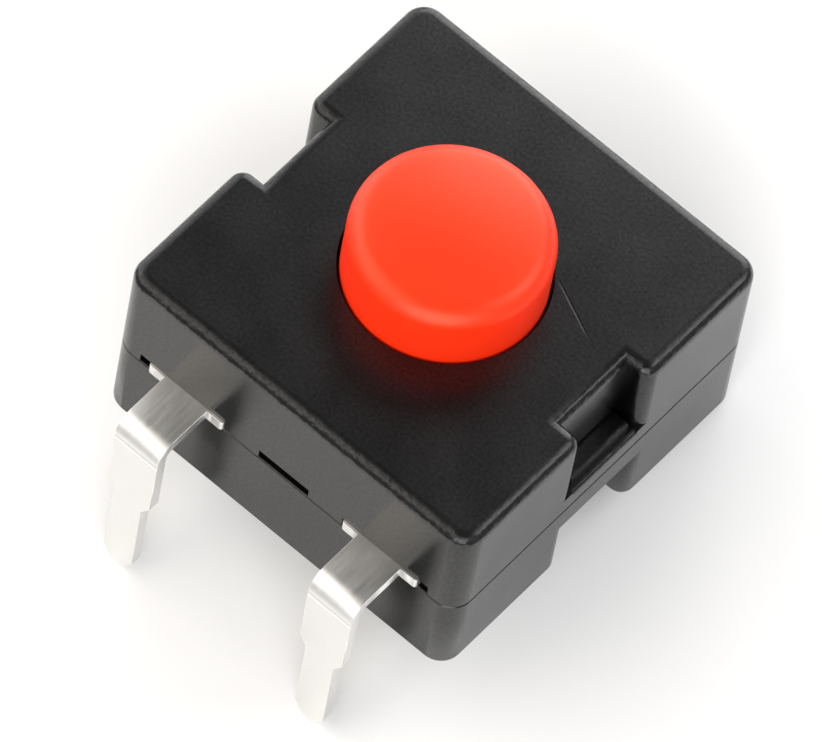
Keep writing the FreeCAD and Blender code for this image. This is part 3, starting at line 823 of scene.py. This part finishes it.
class SWITCH_OT_base(bpy.types.Operator):
    """Model the base: notched foot, full square edge, snap hooks and the cavity's fittings"""

    bl_idname = "switch.base"
    bl_label = "Base"

    def execute(self, context):
        scene = context.scene
        size = Millimetres(scene.switch_housing)
        fitting = Millimetres(scene.switch_fittings)
        top = foot_of("cover")
        half = size.side / 2
        strip_foot = top - size.strip_height
        block = notched_block(size, 0, strip_foot)
        round_edges(block, level_at(0), size.foot_bevel, segments=2)
        base = to_object(block, "base_moulding")
        strip = square_block(half, size.corner_radius, strip_foot, top)
        round_edges(strip, level_at(top), size.parting_bevel, segments=1)
        join(base, strip)
        inside = half - size.wall
        cut(base, square_block(inside, size.cavity_radius, size.floor, top + PAST))
        self.add_lip(base, size, fitting, top, inside)
        self.add_hooks(base, size, Millimetres(scene.switch_hooks), top)
        self.add_fittings(base, size, fitting)
        material = moulded_black_plastic("moulded_black_abs_base", scene.switch_housing.plastic, False)
        finish_piece(base, "housing", material, "base")
        return {"FINISHED"}

    def add_lip(self, base, size, fitting, top, inside):
        """Adds the locating lip on its thicker wall, clear of the terminals and the hooks."""
        outer = inside - fitting.lip_clearance
        inner = outer - fitting.lip_thickness
        ring = square_block(
            outer, size.cavity_radius, top - OVERLAP / 2, top + fitting.lip_height,
        )
        lip = to_object(ring, "lip")
        into_wall = inside + OVERLAP
        join(lip, new_block((-into_wall, -into_wall, size.floor - OVERLAP), (into_wall, into_wall, top)))
        far = size.side
        gap = size.cheek_width / 2 + fitting.lip_clearance
        cut_blocks(lip, (
            ((-inner, -inner, -PAST), (inner, inner, far)),
            ((-far, -far, -PAST), (far, -fitting.lip_start, far)),
            ((-far, -gap, -PAST), (far, gap, far)),
        ))
        join(base, taken_from(lip))

    def add_hooks(self, base, size, hook, parting):
        """Adds both hooks: a wide root, and an arm whose nose reaches over the latch bar."""
        outer = size.side / 2 - size.notch_depth
        inner = outer - hook.thickness
        low = size.floor - OVERLAP
        bar_top = parting + size.bar_height
        nose_foot = bar_top + hook.lift
        nose = outer + hook.reach
        top = nose_foot + hook.nose_height
        profile = [
            (inner, low), (outer, low), (outer, nose_foot), (nose, nose_foot), (nose, top), (inner, top),
        ]
        root = both_sides(
            (inner, -hook.root_width / 2, low), (outer, hook.root_width / 2, parting),
        )
        for side, (root_low, root_high) in zip((1, -1), root):
            join(base, new_block(root_low, root_high))
            arm = new_prism(profile, -hook.width / 2, hook.width / 2)
            round_edges(arm, upright_at([(nose, top)]), hook.lead_radius, segments=6)
            round_edges(arm, upright_at([(inner, top)]), hook.back_radius, segments=4)
            stand_up = Matrix(((side, 0, 0), (0, 0, -1), (0, 1, 0))).to_4x4()
            bmesh.ops.transform(arm, matrix=stand_up, verts=arm.verts)
            bmesh.ops.recalc_face_normals(arm, faces=arm.faces)
            join(base, arm)

    def add_fittings(self, base, size, fitting):
        """Adds the arm ledges with their pegs, the guide posts, the well with its pin, and the marks."""
        inside = size.side / 2 - size.wall
        half = fitting.pad_width / 2
        ledges = both_sides(
            (fitting.pad_centre - half, -inside - OVERLAP, size.floor - OVERLAP),
            (fitting.pad_centre + half, fitting.pad_end, fitting.pad_level),
        )
        for side, (low, high) in zip((1, -1), ledges):
            join(base, new_block(low, high))
            join(base, new_rod(
                fitting.peg_radius, size.floor, fitting.peg_top,
                side * fitting.pad_centre, -fitting.peg_setback, sides=32,
            ))
        near = fitting.guide_gap
        far = near + fitting.guide_depth
        for front, back in ((near, far), (-far, -near)):
            join_blocks(base, both_sides(
                (fitting.guide_start, front, size.floor - OVERLAP),
                (fitting.guide_start + fitting.guide_width, back, fitting.guide_top),
            ))
        cut(base, new_rod(fitting.well_radius, fitting.well_floor, size.floor + PAST, sides=72))
        join(base, new_rod(fitting.pin_radius, fitting.well_floor - OVERLAP, fitting.pin_top))
        reach = fitting.mark_offset
        for x in (-reach, reach):
            for y in (-reach, reach):
                cut(base, new_rod(fitting.mark_radius, -PAST, fitting.mark_depth, x, y))


class SWITCH_OT_button(bpy.types.Operator):
    """Model the button's round head over the splines and teeth at its foot"""

    bl_idname = "switch.button"
    bl_label = "Button"

    def execute(self, context):
        size = Millimetres(context.scene.switch_button)
        top = top_of("button")
        seam = top_of("cover") - context.scene.switch_housing.roof / MM - HAIR
        button = to_object(self.head(size, top, seam), "button_cap")
        join(button, self.foot(seam))
        material = moulded_orange_plastic(context.scene.switch_button.plastic)
        finish_piece(button, "button", material, "button")
        return {"FINISHED"}

    def head(self, size, top, seam):
        """Round cap with a rounded rim and a gently crowned top, hollow inside."""
        radius = size.radius
        bore = size.bore_radius
        bore_end = top - size.top_wall
        rim = top - size.crown_height
        # The rings stay clear of the rim's rounding.
        crown_start = radius - 1.3 * size.rim_radius
        rings = 12
        spots = [crown_start * (1 - ring / rings) for ring in range(rings)]
        crown = [(spot, top - size.crown_height * (spot / radius) ** 2) for spot in spots]
        head = new_turned([
            (bore, seam), (radius, seam), (radius, rim), *crown,
            (0.0, top), (0.0, bore_end), (bore, bore_end),
        ], ROUND_STEPS)

        def at_rim(start, end):
            return all(
                abs(math.hypot(spot.x, spot.y) - radius) < 1e-3 and abs(spot.z - rim) < 1e-3
                for spot in (start, end)
            )

        round_edges(head, at_rim, size.rim_radius, segments=10)
        return head

    def foot(self, seam):
        """Splines and teeth: a copy of the node's own mesh, kept below the seam and closed there."""
        bm = bmesh.new()
        bm.from_mesh(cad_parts["button"].data)
        bmesh.ops.scale(bm, verts=bm.verts, vec=(1 / MM, 1 / MM, 1 / MM))
        bmesh.ops.remove_doubles(bm, verts=bm.verts, dist=1e-4)
        made = bmesh.ops.bisect_plane(
            bm, geom=bm.verts[:] + bm.edges[:] + bm.faces[:], dist=1e-5,
            plane_co=(0, 0, seam + HAIR / 2), plane_no=(0, 0, 1), clear_outer=True,
        )
        rim = [part for part in made["geom_cut"] if isinstance(part, bmesh.types.BMEdge)]
        bmesh.ops.triangle_fill(bm, use_beauty=True, edges=rim)
        bmesh.ops.recalc_face_normals(bm, faces=bm.faces)
        return bm


class SWITCH_OT_terminals(bpy.types.Operator):
    """Fold both terminals out of flat strip, from the arm inside to the tapered pin"""

    bl_idname = "switch.terminals"
    bl_label = "Terminals"

    def execute(self, context):
        size = Millimetres(context.scene.switch_terminals)
        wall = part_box("cover")[0].y / MM
        inner_wall = wall + context.scene.switch_housing.wall / MM
        material = bright_tin_plate(context.scene.switch_terminals.plating)
        for name, side in (("left", -1), ("right", 1)):
            strip = to_object(self.strip(size, side, wall, inner_wall), "terminal_strip_" + name)
            self.punch(strip, size, side, wall)
            finish_piece(strip, "housing", material, "terminal_" + name)
        return {"FINISHED"}

    def strip(self, size, side, wall, inner_wall):
        """One strip, drawn for the right hand terminal and mirrored for the left.

        It grows from the wide plate in the wall: outwards to the leg and the pin, inwards to the arm.
        """
        top = top_of("terminal_right")
        foot = top - size.thickness
        centre = size.spacing / 2
        spans = [
            centre - size.plate_width / 2, size.arm_centre - size.arm_width / 2,
            centre - size.leg_width / 2, size.arm_centre + size.arm_width / 2,
            centre + size.leg_width / 2, centre + size.plate_width / 2,
        ]
        bm = bmesh.new()
        low = [bm.verts.new((x, inner_wall, foot)) for x in spans]
        high = [bm.verts.new((x, inner_wall, top)) for x in spans]
        row = [
            bm.faces.new((low[i], low[i + 1], high[i + 1], high[i])) for i in range(len(spans) - 1)
        ]
        plate_end = self.pull(bm, row, (0, wall - size.plate_proud - inner_wall, 0))
        for faces in (plate_end, row):
            faces.sort(key=lambda face: face.calc_center_median().x)
        behind_leg = plate_end[2:4]
        in_front_of_arm = row[1:3]
        self.add_leg(bm, behind_leg, size, wall, top)
        self.add_arm(bm, in_front_of_arm, size, inner_wall, top)
        bmesh.ops.recalc_face_normals(bm, faces=bm.faces)
        tip = foot_of("terminal_right")
        for width, level, radius in (
            (size.tip_width, tip, size.tip_radius),
            (size.pin_width, tip + size.tip_height, size.taper_radius),
        ):
            corners = [(centre - width / 2, level), (centre + width / 2, level)]
            round_edges(bm, across_at(corners), radius, segments=5)
        front = wall - size.plate_proud
        widths = (size.plate_width, size.leg_width)
        corners = [(centre + way * width / 2, front) for way in (-1, 1) for width in widths]
        round_edges(bm, upright_at(corners), size.tab_radius, segments=5)
        least_angle = math.radians(40)
        sharp = [edge for edge in bm.edges if edge.calc_face_angle(0.0) > least_angle]
        bevel(bm, sharp, size.stamped_edge, segments=3, clamp=True)
        if side < 0:
            bmesh.ops.scale(bm, verts=bm.verts, vec=(-1, 1, 1))
            bmesh.ops.reverse_faces(bm, faces=bm.faces)
        return bm

    def add_leg(self, bm, faces, size, wall, top):
        """Runs out from the plate, folds down and narrows to the tapered pin."""
        centre = size.spacing / 2
        start = wall - size.plate_proud
        outer = wall - size.reach
        fold_y = outer + size.thickness + size.fold_radius
        fold_z = top - size.thickness - size.fold_radius
        ends = self.pull(bm, faces, (0, fold_y - start, 0))
        ends = self.fold(bm, ends, (0, fold_y, fold_z), QUARTER_TURN)
        tip = foot_of("terminal_right")
        level = fold_z
        for z, width in (
            (size.shoulder_level, size.leg_width), (0.0, size.pin_width),
            (tip + size.tip_height, size.pin_width), (tip, size.tip_width),
        ):
            ends = self.pull(bm, ends, (0, 0, z - level))
            self.set_width(ends, centre, width)
            level = z

    def add_arm(self, bm, faces, size, inner_wall, top):
        """Runs in from the plate, folds down beside the wall and again along the floor."""
        thickness = size.thickness
        bend = size.arm_fold_radius
        drop = inner_wall + size.arm_gap
        upper_y = drop - bend
        upper_z = top - thickness - bend
        arm_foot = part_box("fixed_contact_right")[0].z / MM
        lower_y = drop + thickness + bend
        lower_z = arm_foot + thickness + bend
        ends = self.pull(bm, faces, (0, upper_y - inner_wall, 0))
        ends = self.fold(bm, ends, (0, upper_y, upper_z), -QUARTER_TURN)
        ends = self.pull(bm, ends, (0, 0, lower_z - upper_z))
        ends = self.fold(bm, ends, (0, lower_y, lower_z), QUARTER_TURN)
        self.pull(bm, ends, (0, size.arm_end - lower_y, 0))

    def pull(self, bm, faces, step):
        """Extrudes faces by a step and returns the faces at the far end."""
        ends = faces_among(bmesh.ops.extrude_face_region(bm, geom=faces)["geom"])
        verts = {vert for face in ends for vert in face.verts}
        bmesh.ops.translate(bm, verts=list(verts), vec=step)
        return ends

    def fold(self, bm, faces, centre, turn):
        """Folds the strip about a line along X and returns the faces at the far end."""
        return sweep(bm, faces, turn, 12, centre, axis=(1, 0, 0))

    def set_width(self, faces, centre, width):
        """Moves an end's outer corners so that it is as wide as asked."""
        verts = {vert for face in faces for vert in face.verts}
        left = min(vert.co.x for vert in verts)
        right = max(vert.co.x for vert in verts)
        for vert in verts:
            if vert.co.x < left + 1e-5:
                vert.co.x = centre - width / 2
            elif vert.co.x > right - 1e-5:
                vert.co.x = centre + width / 2

    def punch(self, strip, size, side, wall):
        """Punches the two holes in the arm and presses the line across the leg."""
        peg_y = -Millimetres(bpy.context.scene.switch_fittings).peg_setback
        above_arm = 2
        for radius, y in ((size.contact_hole, 0), (size.peg_hole, peg_y)):
            cut(strip, new_rod(radius, 0, above_arm, side * size.arm_centre, y, sides=40))
        line = new_rod(size.crease_radius, -size.leg_width, size.leg_width, sides=32)
        lie_down = Matrix.Rotation(QUARTER_TURN, 4, "Y")
        bmesh.ops.transform(line, matrix=lie_down, verts=line.verts)
        y = wall - size.reach - size.crease_radius + size.crease_depth
        z = top_of("terminal_right") - size.crease_drop
        bmesh.ops.translate(line, verts=line.verts, vec=(side * size.spacing / 2, y, z))
        cut(strip, line)


class SWITCH_OT_springs(bpy.types.Operator):
    """Wind the return spring and the contact spring between their nodes' foot and top"""

    bl_idname = "switch.springs"
    bl_label = "Springs"

    def execute(self, context):
        coils = context.scene.switch_springs
        size = Millimetres(coils)
        material = plain_metal("drawn_spring_steel", "#9A9A9C", 0.22, 0.34, 0.15)
        self.wind(
            "return_coil", "return_spring", "housing", material,
            size.return_radius, size.return_wire, coils.return_turns, size.press,
        )
        self.wind(
            "contact_coil", "contact_spring", "contact_bridge", material,
            size.contact_radius, size.contact_wire, coils.contact_turns,
            size.press - size.contact_travel,
        )
        return {"FINISHED"}

    def wind(self, name, node, body, material, radius, wire, turns, shortening):
        """Winds one coil between the node's foot and top, its end turns nearly closed."""
        foot = foot_of(node)
        top = top_of(node)
        steps_a_turn = 36
        # A little over the wire's own thickness, so that the closed turns don't touch.
        closed_rise = 2.4 * wire
        open_rise = (top - foot - 2 * wire - 2 * closed_rise) / (turns - 2)
        bm = bmesh.new()
        bmesh.ops.create_circle(bm, cap_ends=True, radius=wire, segments=12)
        stand = Matrix.Translation((radius, 0, foot + wire)) @ Matrix.Rotation(QUARTER_TURN, 4, "X")
        bmesh.ops.transform(bm, matrix=stand, verts=bm.verts)
        ends = bm.faces[:]
        for rise, laps in ((closed_rise, 1), (open_rise, turns - 2), (closed_rise, 1)):
            climb = rise / steps_a_turn
            ends = sweep(bm, ends, FULL_TURN * laps, steps_a_turn * laps, climb=climb)
        bmesh.ops.recalc_face_normals(bm, faces=bm.faces)
        coil = to_object(bm, name)
        finish_piece(coil, body, material, node)
        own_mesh(coil)


class SWITCH_OT_inner_finishes(bpy.types.Operator):
    """Give the rotor, the contact bridge and the contacts their finishes"""

    bl_idname = "switch.inner_finishes"
    bl_label = "Inner Finishes"

    def execute(self, context):
        silver = plain_metal("rolled_silver", "#DCDAD6", 0.25, 0.38, 0.1)
        finishes = {
            "rotor": moulded_acetal(),
            "contact_bridge": plain_metal("stamped_bronze", "#C08A55", 0.28, 0.4, 0.12),
        }
        for side in ("left", "right"):
            finishes["fixed_contact_" + side] = silver
            finishes["moving_contact_" + side] = silver
        for node, material in finishes.items():
            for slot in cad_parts[node].material_slots:
                slot.material = material
        return {"FINISHED"}


class SWITCH_OT_stage(bpy.types.Operator):
    """Set the white floor under the pins, the soft lights and the camera"""

    bl_idname = "switch.stage"
    bl_label = "Stage"

    def execute(self, context):
        scene = context.scene
        settings = scene.switch_stage
        self.add_floor(scene, settings)
        self.add_lights(scene, settings)
        self.add_camera(scene, settings)
        self.light_world(scene, settings)
        scene.view_settings.view_transform = "Standard"
        return {"FINISHED"}

    def add_floor(self, scene, settings):
        """Round floor that the switch leans on with its pin tips and its back edge."""
        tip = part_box("terminal_right")[0]
        back_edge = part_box("base")[1].y - scene.switch_housing.foot_bevel
        tip_inner = tip.y + scene.switch_terminals.thickness
        tilt = Matrix.Rotation(math.atan2(-tip.z, back_edge - tip_inner), 4, "X")
        bm = bmesh.new()
        bmesh.ops.create_circle(bm, cap_ends=True, radius=settings.floor_radius, segments=128)
        room = 0.002 * MM
        place = Matrix.Translation((0, back_edge, -room)) @ tilt
        bmesh.ops.transform(bm, matrix=place, verts=bm.verts)
        floor = to_object(bm, "floor")
        floor.data.materials.append(white_board(settings.floor_colour))

    def add_lights(self, scene, settings):
        """Soft round lights. Each row: name, direction, distance in metres, half the angle that it
        fills as seen from the switch, brightness and tint.
        """
        for name, direction, distance, spread_degrees, brightness, tint in (
            ("back_right_light", (0.5, 0.43, 0.75), 0.1, 17, 3.5, "#FFFFFF"),
            ("back_panel", (-0.25, 0.8, 0.5), 0.07, 23, 4.0, "#FFFFFF"),
            ("front_left_light", (-0.55, -0.55, 0.63), 0.15, 32, 2.0, "#FFF8F0"),
            ("front_right_fill", (0.45, -0.8, 0.3), 0.15, 28, 3.5, "#FFFFFF"),
            ("left_light", (-0.9, 0.2, 0.4), 0.15, 28, 2.0, "#FFFFFF"),
            ("right_light", (0.8, -0.1, 0.6), 0.15, 28, 0.5, "#FFFFFF"),
        ):
            data = bpy.data.lights.new(name, "AREA")
            data.shape = "DISK"
            data.size = 2 * distance * math.tan(math.radians(spread_degrees))
            # The power that makes a disk of this area look as bright as asked.
            area = math.pi * data.size ** 2 / 4
            data.energy = brightness * math.pi * area * settings.lights
            data.color = linear(tint)
            light = bpy.data.objects.new(name, data)
            light.location = Vector(direction).normalized() * distance
            light.rotation_mode = "QUATERNION"
            light.rotation_quaternion = light.location.to_track_quat("Z", "Y")
            scene.collection.objects.link(light)

    def add_camera(self, scene, settings):
        data = bpy.data.cameras.new("camera")
        data.sensor_width = 36
        data.lens = settings.lens
        data.clip_start = settings.distance / 10
        data.clip_end = settings.distance * 10
        camera = bpy.data.objects.new("camera", data)
        across, up = settings.azimuth, settings.elevation
        back = Vector((
            math.sin(across) * math.cos(up), -math.cos(across) * math.cos(up), math.sin(up),
        ))
        camera.location = Vector(settings.aim) + back * settings.distance
        camera.rotation_mode = "QUATERNION"
        level_view = (-back).to_track_quat("-Z", "Y")
        camera.rotation_quaternion = level_view @ Euler((0, 0, settings.roll)).to_quaternion()
        scene.collection.objects.link(camera)
        scene.camera = camera

    def light_world(self, scene, settings):
        """Faint light from all round, less from overhead, that is plain white to the camera."""
        world = bpy.data.worlds.new("studio")
        world.use_nodes = True
        tree = world.node_tree
        tree.nodes.clear()
        white = (1.0, 1.0, 1.0, 1.0)
        direction = add_node(tree, "ShaderNodeTexCoord")
        height = add_node(
            tree, "ShaderNodeSeparateXYZ", {}, {"Vector": direction.outputs["Generated"]},
        )
        fades_from, fades_to = 0.2, 0.6
        strength = spread(
            tree, height.outputs["Z"], settings.surround, settings.ceiling, fades_from, fades_to,
        )
        light = add_node(tree, "ShaderNodeBackground", {"Color": white}, {"Strength": strength})
        seen = add_node(tree, "ShaderNodeBackground", {"Color": white, "Strength": 1.0})
        ray = add_node(tree, "ShaderNodeLightPath")
        mixed = add_node(tree, "ShaderNodeMixShader", {}, {
            0: ray.outputs["Is Camera Ray"], 1: light.outputs["Background"],
            2: seen.outputs["Background"],
        })
        add_node(tree, "ShaderNodeOutputWorld", {}, {"Surface": mixed.outputs["Shader"]})
        scene.world = world


class SWITCH_PT_panel(bpy.types.Panel):
    """Buttons for the switch's pieces and its stage"""

    bl_idname = "SWITCH_PT_panel"
    bl_label = "Self Locking Push Switch"
    bl_space_type = "VIEW_3D"
    bl_region_type = "UI"
    bl_category = "Switch"

    def draw(self, context):
        for operator in OPERATORS:
            self.layout.operator(operator.bl_idname)


SETTINGS = {
    "switch_housing": HousingSettings,
    "switch_ratchet": RatchetSettings,
    "switch_hooks": HookSettings,
    "switch_fittings": FittingSettings,
    "switch_button": ButtonSettings,
    "switch_terminals": TerminalSettings,
    "switch_springs": SpringSettings,
    "switch_stage": StageSettings,
}
OPERATORS = (
    SWITCH_OT_cover, SWITCH_OT_base, SWITCH_OT_button, SWITCH_OT_terminals,
    SWITCH_OT_springs, SWITCH_OT_inner_finishes, SWITCH_OT_stage,
)
CLASSES = (*SETTINGS.values(), *OPERATORS, SWITCH_PT_panel)


def register():
    for cls in CLASSES:
        bpy.utils.register_class(cls)
    for name, group in SETTINGS.items():
        setattr(bpy.types.Scene, name, bpy.props.PointerProperty(type=group))


def unregister():
    for name in SETTINGS:
        delattr(bpy.types.Scene, name)
    for cls in reversed(CLASSES):
        bpy.utils.unregister_class(cls)


def main():
    register()
    for operator in OPERATORS:
        action = operator.bl_idname.split(".")[1]
        getattr(bpy.ops.switch, action)()


if __name__ == "__main__":
    main()
